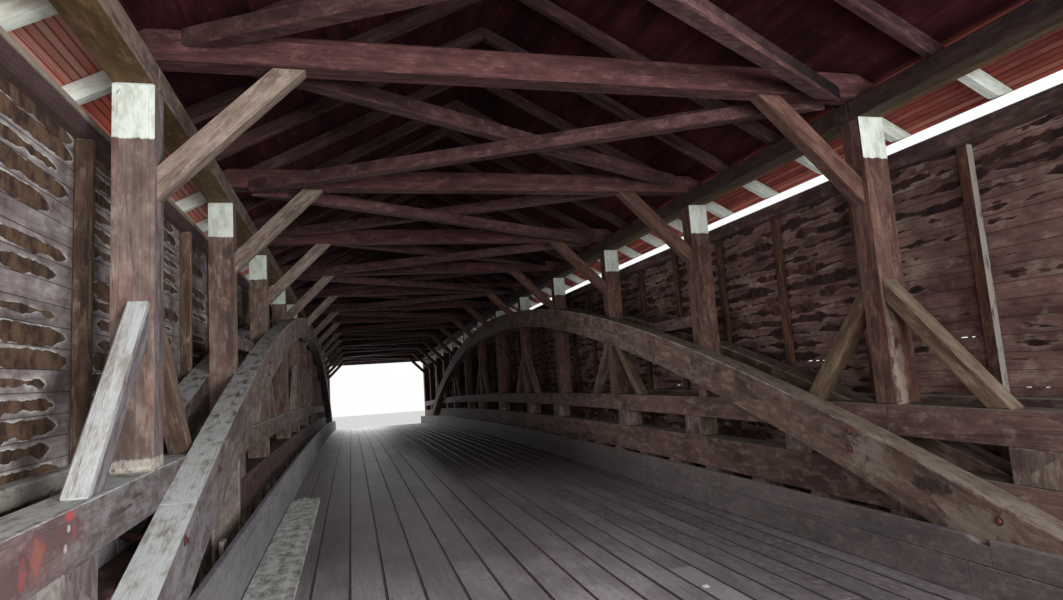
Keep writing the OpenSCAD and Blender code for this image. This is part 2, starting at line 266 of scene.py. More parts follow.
class Graph(Nodes):
    """A material's nodes, with short calls for those used here."""

    def __init__(self, name):
        self.material = bpy.data.materials.new(name)
        super().__init__(self.material)
        self.shader = self.node("BsdfPrincipled")
        self.node("OutputMaterial", [(0, self.shader.outputs[0])])

    def math(self, op, *values):
        return self.node("Math", enumerate(values), operation=op).outputs[0]

    def chain(self, op, total, *others):
        for value in others:
            total = self.math(op, total, value)
        return total

    add = partialmethod(chain, "ADD")
    sub = partialmethod(chain, "SUBTRACT")
    mul = partialmethod(chain, "MULTIPLY")
    low = partialmethod(chain, "MINIMUM")
    high = partialmethod(chain, "MAXIMUM")
    size = partialmethod(math, "ABSOLUTE")
    floor = partialmethod(math, "FLOOR")
    fract = partialmethod(math, "FRACT")

    def coord(self, which):
        return self.node("TexCoord").outputs[which]

    def island(self):
        """A random value for each separate board of a mesh."""
        return self.node("NewGeometry").outputs["Random Per Island"]

    def split(self, vector):
        return tuple(self.node("SeparateXYZ", [(0, vector)]).outputs)

    def join(self, *values):
        return self.node("CombineXYZ", enumerate(values)).outputs[0]

    def noise(self, vector, detail, rough, distort=0.0):
        return self.node("TexNoise", [("Vector", vector), ("Scale", 1.0), ("Detail", detail),
                                      ("Roughness", rough), ("Distortion", distort)]).outputs[0]

    def cloud(self, detail, rough, *terms):
        """Noise over places on the bridge, each given with its scale or as a plain value."""
        values = [self.mul(*term) if isinstance(term, tuple) else term for term in terms]
        return self.noise(self.join(*values), detail, rough)

    def random(self, *cells):
        """Three random values, 0 to 1, for a cell named by whole numbers."""
        return self.split(self.node("TexWhiteNoise", [("Vector", self.join(*cells))]).outputs["Color"])

    def ramp(self, value, dark, light, low, high):
        """A grey that runs straight from dark at low to light at high."""
        node = self.node("ValToRGB", [(0, value)])
        for point, place, grey in zip(node.color_ramp.elements, (low, high), (dark, light)):
            point.position = place
            point.color = (grey, grey, grey, 1.0)
        return node.outputs[0]

    def step(self, value, low, high):
        """0 at low and 1 at high, smooth between; low may be above high."""
        ends = (low, high) if low <= high else (high, low, 1.0, 0.0)
        node = self.node("MapRange", enumerate((value, *ends)), interpolation_type="SMOOTHSTEP")
        return node.outputs[0]

    def mix(self, share, a, b, mode="MIX"):
        inputs = (0, share), (6, a), (7, b)
        return self.node("Mix", inputs, data_type="RGBA", blend_type=mode).outputs[2]

    def blend(self, value, low, high, a, b, share=1.0):
        """a where the value is low, b where it is high, or only a share of b."""
        mask = self.step(value, low, high)
        return self.mix(mask if share == 1.0 else self.mul(mask, share), a, b)

    def lay(self, colour, over, *masks):
        """Lays a colour over another where all masks are high."""
        return self.mix(self.mul(*masks), colour, over)

    def times(self, colour, tint):
        return self.mix(1.0, colour, tint, "MULTIPLY")

    def vary(self, colour, value, dark, light, low=0.30, high=0.70):
        """The colour times dark where the value is low, times light where it is high."""
        return self.times(colour, self.ramp(value, dark, light, low, high))

    def per_board(self, colour, dark, light):
        """The same with a random tone for each board."""
        return self.vary(colour, self.island(), dark, light, 0.0, 1.0)

    def spot(self, v, centre, radii, ragged):
        """1 inside an ellipsoid with a ragged edge, 0 outside."""
        terms = [self.math("POWER", self.mul(self.sub(a, c), 1 / r), 2.0)
                 for a, c, r in zip(v, centre, radii)]
        return self.step(self.add(*terms, self.mul(self.sub(ragged, 0.5), 4.0)), 1.4, 0.4)

    def finish(self, colour, rough, height, depth, shine=0.3):
        """Ends the graph with its colour, roughness, relief and shine."""
        bump = self.node("Bump", [("Strength", 0.7), ("Distance", depth), ("Height", height)]).outputs[0]
        for key, value in (("Base Color", colour), ("Roughness", rough), ("Normal", bump),
                           ("Specular IOR Level", shine)):
            self.put(self.shader.inputs[key], value)
        return self.material


class Surface(Graph):
    """Knows where a shading point is: along and across its timber as v, and its place on the bridge."""

    def __init__(self, name, run):
        super().__init__(name)
        x, y, z = self.split(self.coord("Object"))
        h = self.sub(self.add(z, self.mul(y, y, CAMBER / END_POST ** 2)), ROAD_Z)
        side = self.size(x)
        if run == "x":
            v = (x, y, h)
        elif run == "y":
            v = (y, x, h)
        elif run == "z":
            v = (h, x, y)
        elif run == "strut":
            off = self.math("PINGPONG", y, PANEL / 2)
            v = (off, x, self.add(h, self.mul(off, 1.06)))
        elif run == "knee":
            v = (self.sub(h, side), y, self.add(h, side))
        elif run == "rafter":
            v = (side, y, self.add(h, self.mul(side, SLOPE)))
        elif run == "arch":
            low = self.sub(z, ARCH_CENTRE_Z)
            r = self.math("SQRT", self.add(self.mul(y, y), self.mul(low, low)))
            v = (self.mul(self.math("ARCTAN2", y, low), ARCH_R), x, r)
        else:
            u, w, _ = self.split(self.coord("UV"))
            v = (u, w, 0.0)
        self.v = (self.add(v[0], self.mul(self.island(), 37.0)), v[1], v[2])
        self.x = x
        self.y = y
        self.h = h
        self.side = side
        self.normal = self.split(self.coord("Normal"))
        self.top = self.step(self.normal[2], 0.25, 0.75)
        self.under = self.step(self.normal[2], -0.4, -0.6)
        self.left = self.step(x, 0.05, -0.05)
        self.right = self.sub(1.0, self.left)
        # 1 on faces that look at the road, -1 on faces that look away from it
        self.inward = self.mul(self.normal[0], self.math("SIGN", x), -1.0)

    def scaled(self, along, across):
        return self.join(*(self.mul(value, by) for value, by in zip(self.v, (along, across, across))))

    def grain(self, along, across, detail, rough, distort=0.0):
        """Noise stretched along a timber."""
        return self.noise(self.scaled(along, across), detail, rough, distort)


class Wood(Surface):
    """Rough sawn wood with stains, worn patches, soft streaks, fine grain and thin checks."""

    def __init__(self, name, run, shades, checks=0.35, knots=0.0):
        super().__init__(name, run)
        dark, body, pale = shades
        grain = self.grain(5.0, 75.0, 3.0, 0.65)
        self.streak = self.grain(1.2, 15.0, 3.0, 0.62, 0.25)
        self.broad = self.grain(1.0, 3.2, 4.0, 0.64)
        self.patch = self.grain(5.5, 12.0, 4.0, 0.72)
        colour = self.blend(self.broad, 0.36, 0.62, dark, body)
        colour = self.blend(self.patch, 0.48, 0.70, colour, pale, 0.60)
        colour = self.blend(self.patch, 0.48, 0.30, colour, shade(dark, 0.62), 0.50)
        colour = self.blend(self.streak, 0.46, 0.28, colour, shade(dark, 0.60), 0.50)
        colour = self.blend(self.streak, 0.54, 0.72, colour, pale, 0.30)
        line = self.grain(0.35, 8.0, 2.0, 0.5, 0.4)
        line = self.step(self.size(self.sub(line, 0.5)), 0.008, 0.0)
        line = self.mul(line, self.step(self.broad, 0.44, 0.60))
        colour = self.lay(colour, shade(dark, 0.22), line, checks)
        if knots:
            cells = self.node("TexVoronoi", [("Vector", self.scaled(1.7, 4.5))])
            colour = self.blend(cells.outputs["Distance"], 0.13, 0.05, colour, shade(dark, 0.42), knots)
        self.colour = self.per_board(self.vary(colour, grain, 0.78, 1.18), 0.86, 1.098)
        relief = self.mul(self.add(grain, self.patch), 0.45)
        self.height = self.add(self.sub(self.mul(self.streak, 0.5), self.mul(line, 0.6)), relief)


NEAR_REACH = (-11.6, -13.6)
HEADS_FROM = 2.925


def layer(wear):
    """Makes a layer of wear, which takes its settings first, then the wood and the colour so far."""
    return lambda *settings, **named: lambda g, colour: wear(g, colour, *settings, **named)


@layer
def rusty(g, colour, share):
    """Rusty red areas."""
    area = g.step(g.grain(1.5, 4.5, 3.0, 0.6), 0.50, 0.62)
    return g.lay(colour, g.blend(g.patch, 0.35, 0.65, (98, 64, 55), (138, 100, 86)), area, share)


@layer
def right_tint_and_shade(g, colour, tint):
    """A darker tint for the timbers on the right side: partly their own tone, partly painted shade."""
    return g.lay(colour, g.times(colour, tint), g.right)


@layer
def lit_near_faces(g, colour, tone):
    """Painted light: a paler tone on faces of the right side towards the near end, where light comes in."""
    masks = g.step(g.normal[1], -0.5, -0.7), g.step(g.patch, 0.28, 0.50), g.step(g.y, -11.9, -12.5)
    return g.lay(colour, tone, *masks, 0.70, g.right)


@layer
def worn_and_highlit_rim(g, colour):
    """The arches' upper edges towards the road, rubbed pale, with a painted highlight."""
    rim = g.step(g.v[2], ARCH_R - 0.020, ARCH_R - 0.006), g.step(g.inward, 0.6, 0.8)
    return g.lay(colour, (176, 168, 158), *rim, g.step(g.patch, 0.38, 0.56), 0.65)


@layer
def painted_round_light(g, colour, height):
    """The left top rail: painted light above a height, painted shade under it, then middling."""
    upper = g.step(g.add(g.h, g.mul(g.sub(g.broad, 0.5), 0.05)), height - 0.02, height + 0.01)
    lower = g.step(g.add(g.h, g.mul(g.sub(g.broad, 0.5), 0.03)), height - 0.070, height - 0.095)
    band = g.mix(upper, g.mix(lower, (74, 52, 56), (112, 92, 84)), (158, 148, 134))
    rail = g.step(g.h, height - 0.13, height - 0.11)
    return g.lay(colour, g.vary(band, g.patch, 0.80, 1.15), rail, g.left, 0.85)


@layer
def bleached(g, colour, share, face=1.0, reach=NEAR_REACH, least=-1.0, brown=0.45):
    """Pale grey timber at the near left, from reach on and above least. face is its share on faces that
    don't look at the road, brown how strong its browner areas are on those that do."""
    near = g.mul(g.step(g.y, *reach), g.left, g.step(g.h, least, least + 0.12), share)
    if face < 1.0:
        near = g.mul(near, g.add(g.mul(g.step(g.inward, 0.45, 0.75), 1.0 - face), face))
    flank = g.blend(g.patch, 0.34, 0.62, (95, 84, 86), (136, 132, 134))
    flank = g.blend(g.broad, 0.50, 0.36, flank, (88, 74, 76), 0.50)
    front = g.blend(g.patch, 0.34, 0.60, (160, 154, 147), (200, 204, 202))
    front = g.blend(g.broad, 0.50, 0.32, front, (134, 120, 112), brown)
    pale = g.blend(g.inward, 0.75, 0.45, flank, front)
    crack = g.size(g.sub(g.grain(0.9, 24.0, 3.0, 0.6, 0.3), 0.5))
    pale = g.lay(pale, (92, 84, 80), g.step(crack, 0.016, 0.002), g.step(g.broad, 0.40, 0.56), 0.60)
    return g.lay(colour, g.vary(pale, g.streak, 0.84, 1.06), near)


@layer
def dust_and_light(g, colour, share):
    """Dust on upward faces: pale on the left side as painted light, darker on the right as painted shade."""
    dust = g.mix(g.left, (112, 108, 97), (204, 210, 210))
    return g.lay(colour, dust, g.top, share, g.step(g.patch, 0.30, 0.56))


@layer
def shade_behind_truss(g, colour):
    """Painted shade on the near end of the left outer arch, behind the truss."""
    tone = g.blend(g.patch, 0.34, 0.64, (50, 32, 36), (74, 50, 54))
    behind = g.step(g.side, POST_OUT, POST_OUT + 0.02), g.step(g.y, -13.0, -13.5)
    return g.lay(colour, tone, g.left, *behind, 0.88)


@layer
def shade_under_hip(g, colour):
    """Painted shade on the left lower chord, under the hip beam."""
    low = g.step(g.h, CHORD_TOP + 0.012, CHORD_TOP + 0.004)
    return g.lay(colour, g.times(g.colour, (0.56, 0.38, 0.41)), low, g.left)


@layer
def stained(g, colour, stains):
    """Single marks, each as colour, strength, centre and radii."""
    crumb = g.grain(16.0, 28.0, 4.0, 0.68)
    for tone, strength, centre, radii in stains:
        mark = g.spot((g.x, g.y, g.h), centre, radii, crumb)
        colour = g.lay(colour, tone, mark, g.step(g.patch, 0.30, 0.50), strength)
    return colour


def painted(g, colour, cover):
    """Old white paint, flaking."""
    flake = g.step(g.grain(9.0, 30.0, 4.0, 0.7), 0.70, 0.66)
    white = g.blend(g.patch, 0.34, 0.60, (194, 199, 186), (222, 231, 222))
    return g.lay(colour, white, cover, g.add(g.mul(flake, 0.7), 0.3))


@layer
def white_heads(g, colour):
    """The posts' heads, white on the faces towards the near end and towards the wall."""
    level = g.step(g.add(g.h, g.mul(g.sub(g.patch, 0.5), 0.035)), HEADS_FROM, HEADS_FROM + 0.012)
    faces = g.high(g.step(g.normal[1], -0.4, -0.6), g.step(g.inward, -0.4, -0.6))
    return painted(g, colour, g.mul(level, faces))


@layer
def white_tails(g, colour):
    """The rafters' tails, white outside the posts."""
    return painted(g, colour, g.step(g.side, POST_OUT - 0.01, POST_OUT))


def timber(name, run, shades, *layers, checks=0.35, knots=0.0, bump=0.006):
    """A wooden material with layers of wear in their order; run says which way its grain goes."""
    g = Wood(name, run, shades, checks, knots)
    colour = g.colour
    for wear in layers:
        colour = wear(g, colour)
    return g.finish(colour, 0.88, g.height, bump)


# Marks on the left hip beam: colour, strength, place along it, height, then half length and half height
HIP_MARKS = [
    ((106, 76, 74), 0.60, -15.05, 0.98, 0.60, 0.12),
    ((86, 62, 64), 0.65, -14.78, 1.02, 0.26, 0.06),
    ((102, 76, 74), 0.45, -14.64, 1.03, 0.16, 0.080),
    ((116, 78, 74), 0.45, -14.93, 0.98, 0.14, 0.085),
    ((82, 58, 60), 0.60, -15.10, 0.95, 0.16, 0.08),
    ((178, 76, 72), 0.75, -14.62, 1.065, 0.048, 0.022),
    ((164, 80, 76), 0.65, -14.58, 1.005, 0.024, 0.030),
    ((196, 190, 186), 0.70, -14.63, 1.025, 0.016, 0.014),
    ((196, 190, 186), 0.70, -14.66, 0.955, 0.016, 0.018),
    ((158, 92, 80), 0.60, -14.89, 0.99, 0.050, 0.060),
    ((152, 80, 76), 0.60, -15.00, 0.95, 0.030, 0.045),
    ((48, 36, 40), 0.80, -14.02, 0.98, 0.160, 0.014),
    ((48, 36, 40), 0.70, -13.80, 1.01, 0.100, 0.010),
]
HIP_STAINS = [(tone, strength, (-POST_IN, y, h), (0.05, half_y, half_h))
              for tone, strength, y, h, half_y, half_h in HIP_MARKS]
ARCH_STAINS = [
    ((148, 138, 126), 0.55, (ARCH_IN, -13.42, 0.74), (0.08, 0.20, 0.16)),
    ((96, 70, 54), 0.60, (ARCH_IN, -13.66, 0.76), (0.08, 0.16, 0.10)),
    ((140, 130, 118), 0.50, (ARCH_IN, -14.20, 0.42), (0.08, 0.24, 0.10)),
    ((44, 34, 34), 0.85, (ARCH_IN, -13.90, 0.60), (0.05, 0.15, 0.055)),
]
FIFTH_POST = -5 * PANEL
POST_STAINS = [
    ((190, 184, 172), 0.75, (-POST_IN, FIFTH_POST, 1.07), (0.60, 0.30, 0.045)),
    ((196, 190, 180), 0.60, (-POST_IN, FIFTH_POST, 1.13), (0.60, 0.20, 0.030)),
    ((152, 140, 126), 0.55, (POST_IN + 0.07, FIFTH_POST, 1.35), (0.05, 0.30, 0.50)),
]
RAIL_STAINS = [((152, 150, 142), 0.70, (-RAIL_IN, -14.60, MID_RAIL + 0.05), (0.30, 2.20, 0.14))]

# The tints for the right side darken it, partly as painted shade.
POSTS = timber("post_wood", "z", ((80, 62, 56), (116, 96, 88), (158, 142, 130)), rusty(0.45),
               right_tint_and_shade((216, 194, 190)), bleached(0.6, face=0.12), stained(POST_STAINS), white_heads())
STUBS = timber("stub_wood", "z", ((78, 62, 56), (114, 96, 88), (158, 144, 130)), bleached(0.6, face=0.5))
# The right studs' faces towards the near end get a paler tone as painted light.
STUDS = timber("stud_wood", "z", ((74, 55, 46), (108, 85, 71), (156, 136, 120)),
               right_tint_and_shade((196, 166, 156)), lit_near_faces((150, 146, 140)))
BEAMS = timber("beam_wood", "y", ((74, 58, 54), (104, 86, 80), (146, 132, 122)), right_tint_and_shade((255, 238, 238)),
               bleached(0.85, least=0.74), dust_and_light(0.80), shade_under_hip(), stained(HIP_STAINS))
ARCHES = timber("arch_wood", "arch", ((78, 62, 56), (108, 92, 84), (148, 136, 126)),
                right_tint_and_shade((255, 240, 236)), worn_and_highlit_rim(), bleached(0.95, brown=0.30), dust_and_light(0.60),
                shade_behind_truss(), stained(ARCH_STAINS), bump=0.009)
STRUTS = timber("strut_wood", "strut", ((84, 64, 56), (116, 95, 84), (158, 143, 130)), rusty(0.30),
                right_tint_and_shade((240, 240, 222)), bleached(1.0, reach=(-13.36, -13.44), brown=0.12), dust_and_light(0.35))
KNEES = timber("knee_wood", "knee", ((98, 82, 74), (132, 116, 105), (168, 153, 142)),
               right_tint_and_shade((178, 146, 140)), knots=0.5)
TIES = timber("tie_wood", "x", ((56, 31, 31), (80, 48, 48), (112, 77, 75)), knots=0.7)
LATERALS = timber("lateral_wood", "x", ((56, 34, 35), (82, 54, 53), (106, 80, 77)), knots=0.4)
RAFTERS = timber("rafter_wood", "rafter", ((50, 30, 32), (74, 47, 47), (98, 70, 68)), white_tails())
# The left top rail gets painted light and shade on its rounded top.
RAILS = timber("rail_wood", "y", ((70, 54, 52), (98, 82, 78), (142, 130, 122)), right_tint_and_shade((226, 208, 208)),
               painted_round_light(WALL_TOP[-1] - 0.065), dust_and_light(0.8), stained(RAIL_STAINS))
SCRAP = timber("panel_wood", "uv", ((114, 100, 93), (148, 134, 125), (184, 175, 165)))
SILLS = timber("sill_wood", "x", ((72, 54, 48), (102, 82, 74), (136, 118, 108)))
GABLE = timber("gable_board", "uv", ((92, 78, 70), (128, 114, 104), (160, 150, 142)))
SHINGLES = timber("shingle", "uv", ((80, 74, 70), (116, 110, 104), (150, 146, 140)), checks=0.3)


def plate_wood():
    """Top plates: olive below, pale on the left one's road side, dark maroon on the right one's as painted
    shade.
    """
    g = Wood("plate_wood", "y", ((84, 62, 38), (112, 87, 55), (136, 113, 82)))
    # Painted shade: the inner part of the right plate's underside is darker.
    deep = g.under, g.right, g.step(g.side, POST_IN + 0.16, POST_IN + 0.12), 0.7
    colour = g.lay(g.colour, (46, 34, 30), *deep)
    pale = g.blend(g.patch, 0.36, 0.62, (82, 66, 59), (118, 102, 93))
    # maroon is painted shade on the right plate's road side.
    maroon = g.blend(g.patch, 0.36, 0.64, (38, 25, 25), (60, 43, 39))
    colour = g.blend(g.inward, 0.4, 0.6, colour, g.mix(g.left, maroon, pale))
    return g.finish(colour, 0.88, g.height, 0.006)


PLATE = plate_wood()

# Colours of each side's wall: bare boards, patches and their rims, then how softly a patch begins, how far
# its haze reaches and how strong the haze is above and below the patch's middle
LEFT_WALL = {
    "ground": ((102, 89, 90), (140, 128, 128), (182, 179, 176)), "brown": ((58, 42, 36), (104, 81, 64)),
    "rim": (214, 217, 211), "soft": 0.035, "haze": 0.26, "above": 0.95, "below": 0.75,
}
RIGHT_WALL = {
    "ground": ((84, 59, 57), (116, 88, 82), (154, 133, 120)), "brown": ((31, 19, 19), (60, 38, 33)),
    "rim": (150, 136, 125), "soft": 0.10, "haze": 0.20, "above": 0.05, "below": 0.60,
}
# The right wall is barer on the near side of this place
BARE_FROM = (-12.72, -12.84)


def long_patches(g, row, t):
    """Left wall: a long patch with blunt ends in most boards of each bay between two studs. Gives how deep
    a point lies in the patch and how far above its middle."""
    place = g.mul(g.sub(g.y, STUD_AT[-1]), 1 / STUD_STEP[-1])
    bay = g.floor(place)
    a = g.fract(place)
    first, second, third = g.random(row, bay, -1.0)
    fourth, fifth, _ = g.random(bay, row, 4.0)
    slow = g.sub(g.cloud(2.0, 0.5, (g.y, 4.4), (row, 7.3), -1.0), 0.5)
    quick = g.sub(g.cloud(4.0, 0.62, (g.y, 9.0), (g.h, 11.0), (row, 5.1)), 0.5)
    ahead = g.sub(a, g.add(g.mul(second, 0.28), 0.02))
    behind = g.sub(g.sub(0.98, g.mul(third, 0.24)), a)
    ends = g.low(g.high(g.mul(g.low(ahead, behind), 1 / 0.11), 0.0), 1.0)
    low = g.mul(g.step(g.h, 2.0, 1.5), 0.05)
    half = g.add(g.mul(first, 0.32), low, g.add(g.mul(slow, 0.60), 0.15))
    half = g.sub(g.mul(g.add(half, 0.16), g.math("POWER", ends, 0.45)), 0.16)
    off = g.sub(t, g.add(g.mul(fourth, 0.20), g.mul(slow, -0.30), 0.38))
    depth = g.add(g.sub(half, g.size(off)), g.mul(quick, 0.34))
    return g.sub(depth, g.step(fifth, 0.15, 0.14)), off


def dark_streaks(g, row, t):
    """Right wall: ragged dark streaks along the boards, fewer of them low down beside the camera."""
    length = g.cloud(3.0, 0.55, (g.y, 2.3), (row, 7.3), 2.0)
    sway = g.cloud(3.0, 0.6, (g.y, 2.1), (row, 3.7), 5.0)
    ragged = g.cloud(4.0, 0.62, (g.y, 7.0), (g.h, 44.0), (row, 5.1))
    first, _, _ = g.random(row, 1.0, 2.0)
    bare = g.mul(g.step(g.y, *BARE_FROM), g.step(g.h, 2.55, 2.25))
    half = g.add(g.mul(first, 0.20), g.sub(0.16, g.mul(bare, 0.30)))
    half = g.add(g.mul(g.sub(length, 0.5), 1.9), half)
    off = g.sub(t, g.add(g.mul(g.sub(sway, 0.5), 1.1), 0.45))
    return g.add(g.sub(half, g.size(off)), g.mul(g.sub(ragged, 0.5), 0.75)), off


def siding(name, side, look, marks):
    """Horizontal boards, weathered in patches or streaks with soft pale surroundings."""
    g = Surface(name, "uv")
    level = g.mul(g.add(g.h, WALL_DROP), 1 / BOARD_H)
    row = g.floor(level)
    t = g.fract(level)
    depth, off = marks(g, row, t)
    inner_face = g.step(g.inward, 0.3, 0.6)
    patch = g.mul(g.step(depth, -0.012, look["soft"]), inner_face)
    fade = g.cloud(3.0, 0.6, (g.y, 5.0), (row, 3.3), (g.h, 6.0))
    where = g.blend(off, -0.05, 0.05, (look["below"],) * 3, (look["above"],) * 3)
    haze = g.mul(g.step(depth, -look["haze"], 0.0), g.step(fade, 0.36, 0.62), where, 0.50)
    rim = g.mul(g.step(depth, -0.06, -0.015), g.step(fade, 0.44, 0.58), where)
    streak = g.cloud(4.0, 0.64, (g.y, 3.0), (g.h, 70.0), (row, 3.0))
    blotch = g.cloud(4.0, 0.66, (g.y, 2.6), (g.h, 5.0), float(side))
    drops = g.cloud(4.0, 0.60, (g.y, 10.0), (g.h, 7.0), (row, 2.3))
    ground, brown = look["ground"], look["brown"]
    bare = g.blend(blotch, 0.36, 0.56, ground[0], ground[1])
    bare = g.blend(blotch, 0.54, 0.68, bare, ground[2], 0.7)
    inside = g.blend(drops, 0.34, 0.62, brown[0], brown[1])
    if side > 0:
        bare = g.lay(bare, (150, 135, 122), g.step(fade, 0.58, 0.68), g.step(g.y, *BARE_FROM), 0.50)
        rust = g.random(row, g.floor(g.mul(g.y, 0.8)), float(side))[1]
        inside = g.lay(inside, (98, 62, 48), g.step(rust, 0.60, 0.70), g.step(drops, 0.44, 0.62), 0.55)
    inside = g.blend(depth, 0.10, 0.0, inside, shade(brown[0], 0.75), 0.40)
    outer = g.mix(g.island(), (96, 78, 73), (128, 108, 101))
    outer = g.blend(blotch, 0.50, 0.66, outer, (142, 126, 118), 0.45)
    colour = g.mix(patch, g.mix(inner_face, outer, bare), inside)
    colour = g.lay(colour, look["rim"], g.high(haze, rim), g.sub(1.0, patch), inner_face)
    colour = g.vary(colour, streak, 0.78, 1.15)
    # Dark lines at each board's joints: the joint itself, with painted shade under the board's edge.
    lap_line_and_shade = g.high(g.step(t, 0.045, 0.0), g.step(t, 0.975, 1.0))
    colour = g.per_board(g.lay(colour, (28, 20, 21), lap_line_and_shade, 0.75), 0.86, 1.10)
    height = g.sub(g.add(g.mul(streak, 0.4), g.mul(drops, 0.3)), g.mul(patch, 0.4))
    return g.finish(colour, 0.9, height, 0.006)


WALLS = {
    -1: siding("left_wall_board", -1, LEFT_WALL, long_patches),
    1: siding("right_wall_board", 1, RIGHT_WALL, dark_streaks),
}


def road_wood(name, shades, right=None, rust=None, crust=0.0, chips=0.0, pale=None, rough=(0.50, 0.68)):
    """Worn road timber. right tints the right side, rust is the colour of crumbs, crust the share of light
    and dark scabs, chips that of pale specks, and pale is for the deck: a paler plank's edges and far end."""
    g = Surface(name, "uv")
    dark, body, light = shades
    streak = g.grain(2.4, 38.0, 4.0, 0.64)
    broad = g.cloud(5.0, 0.62, (g.x, 1.6), (g.y, 0.8), g.add(g.mul(g.island(), 9.0), g.mul(g.h, 1.6)))
    mottle = g.cloud(4.0, 0.70, (g.x, 22.0), (g.y, 12.0), (g.h, 22.0))
    colour = g.blend(broad, 0.34, 0.62, dark, body)
    if pale:
        dust = g.blend(broad, 0.40, 0.58, (152, 145, 149), (188, 182, 186))
        colour = g.lay(colour, dust, g.step(g.y, -10.8, -13.4), g.step(g.x, 1.6, 0.2), 0.80)
    colour = g.blend(mottle, 0.46, 0.68, colour, light, 0.60)
    colour = g.blend(mottle, 0.44, 0.30, colour, shade(dark, 0.66), 0.45)
    colour = g.vary(colour, streak, 0.80, 1.13)
    if pale:
        first, last, end = pale
        plank = g.step(g.x, first, first + 0.003), g.step(g.x, last, last - 0.003)
        colour = g.lay(colour, (168, 164, 164), *plank, g.step(g.y, end, end - 0.004), 0.40)
        # Painted shade: the planks' side faces and worn edges, which look across the joints, are darkened.
        colour = g.blend(g.size(g.normal[0]), 0.4, 0.7, colour, (36, 27, 27), 0.85)
    if crust:
        cells = g.cloud(7.0, 0.72, (g.x, 12.0), (g.y, 6.5), 2.0)
        colour = g.blend(cells, 0.42, 0.58, colour, (214, 217, 210), crust)
        colour = g.blend(cells, 0.38, 0.30, colour, (84, 78, 74), crust)
    if chips:
        speck = g.step(g.cloud(1.0, 0.5, (g.x, 62.0), (g.y, 38.0), g.h), 0.77, 0.80)
        colour = g.lay(colour, (196, 194, 190), speck, chips, g.step(g.x, 0.3, 1.2))
    if rust:
        crumbs = g.step(g.cloud(2.0, 0.6, (g.x, 60.0), (g.y, 34.0), 3.0), 0.46, 0.60)
        colour = g.lay(colour, rust, crumbs, g.step(g.y, -8.0, -12.5), g.step(g.x, 0.9, 0.1))
    # The right side is tinted darker, partly as painted shade.
    if right:
        colour = right_tint_and_shade(right)(g, colour)
    # Painted shade: the right part of the road is darker beyond the near end, where less light falls.
    far_right_shade = g.step(g.x, -0.2, 1.3), g.step(g.y, -12.0, -6.0)
    colour = g.lay(colour, g.times(colour, (158, 138, 146)), *far_right_shade)
    colour = g.per_board(colour, 0.88, 1.08)
    height = g.add(g.mul(streak, 0.6), g.mul(mottle, 0.6))
    smooth, dull = rough
    return g.finish(colour, g.ramp(mottle, smooth, dull, 0.3, 0.7), height, 0.004 + 0.006 * crust, 0.45)


PLANKS = road_wood("road_plank", ((86, 78, 83), (106, 98, 104), (130, 123, 129)), chips=0.9,
                   pale=(0.80, 1.00, -12.85))
JOINTS = road_wood("joint_dirt", ((28, 21, 21), (40, 31, 30), (58, 46, 40)), rust=(158, 96, 64))
CURBS = road_wood("curb_board", ((102, 100, 104), (128, 126, 131), (153, 152, 154)),
                  right=(214, 196, 190), rough=(0.66, 0.80))
LOOSE = road_wood("loose_plank", ((124, 123, 120), (158, 160, 157), (196, 199, 193)), crust=0.70,
                  rough=(0.8, 0.9))


# Width of the eaves' slats
SLAT = 0.044


def roof_wood(name):
    """Roof boards seen from below: dull maroon with dark joints, brighter red slats out in the eaves."""
    g = Surface(name, "uv")
    streak = g.grain(1.4, 26.0, 4.0, 0.64)
    broad = g.grain(0.8, 3.4, 4.0, 0.64)
    patch = g.grain(5.0, 11.0, 5.0, 0.70)
    inside = g.blend(broad, 0.36, 0.62, (42, 18, 22), (64, 28, 32))
    inside = g.blend(patch, 0.54, 0.72, inside, (104, 70, 70), 0.30)
    bright = g.blend(broad, 0.35, 0.60, (138, 62, 56), (188, 100, 88))
    # Here and below, the left eave's colours are lighter as painted light falling in from outside.
    faded_and_lit = g.blend(broad, 0.42, 0.54, (246, 126, 106), (226, 168, 152))
    outside = g.mix(g.left, bright, faded_and_lit)
    outside = g.blend(patch, 0.50, 0.66, outside, g.mix(g.left, (150, 116, 106), (204, 180, 166)), 0.45)
    slats = g.mul(g.side, 1 / SLAT)
    slat = g.fract(slats)
    tone = g.random(g.floor(slats), 4.0, 2.0)[0]
    outside = g.blend(tone, 0.62, 0.80, outside, (196, 142, 124), 0.65)
    outside = g.blend(tone, 0.30, 0.16, outside, g.mix(g.left, (104, 50, 46), (182, 94, 80)), 0.45)
    colour = g.blend(g.side, POST_OUT - 0.06, POST_OUT + 0.02, inside, outside)
    colour = g.vary(colour, streak, 0.78, 1.14)
    groove = g.high(g.step(slat, 0.16, 0.04), g.step(slat, 0.88, 0.98))
    groove = g.mul(groove, g.step(g.side, POST_OUT - 0.06, POST_OUT))
    colour = g.per_board(g.lay(colour, (52, 26, 26), groove, 0.7), 0.74, 1.15)
    return g.finish(colour, 0.95, g.sub(streak, groove), 0.004, 0.08)


ROOF_BOARDS = roof_wood("roof_board")


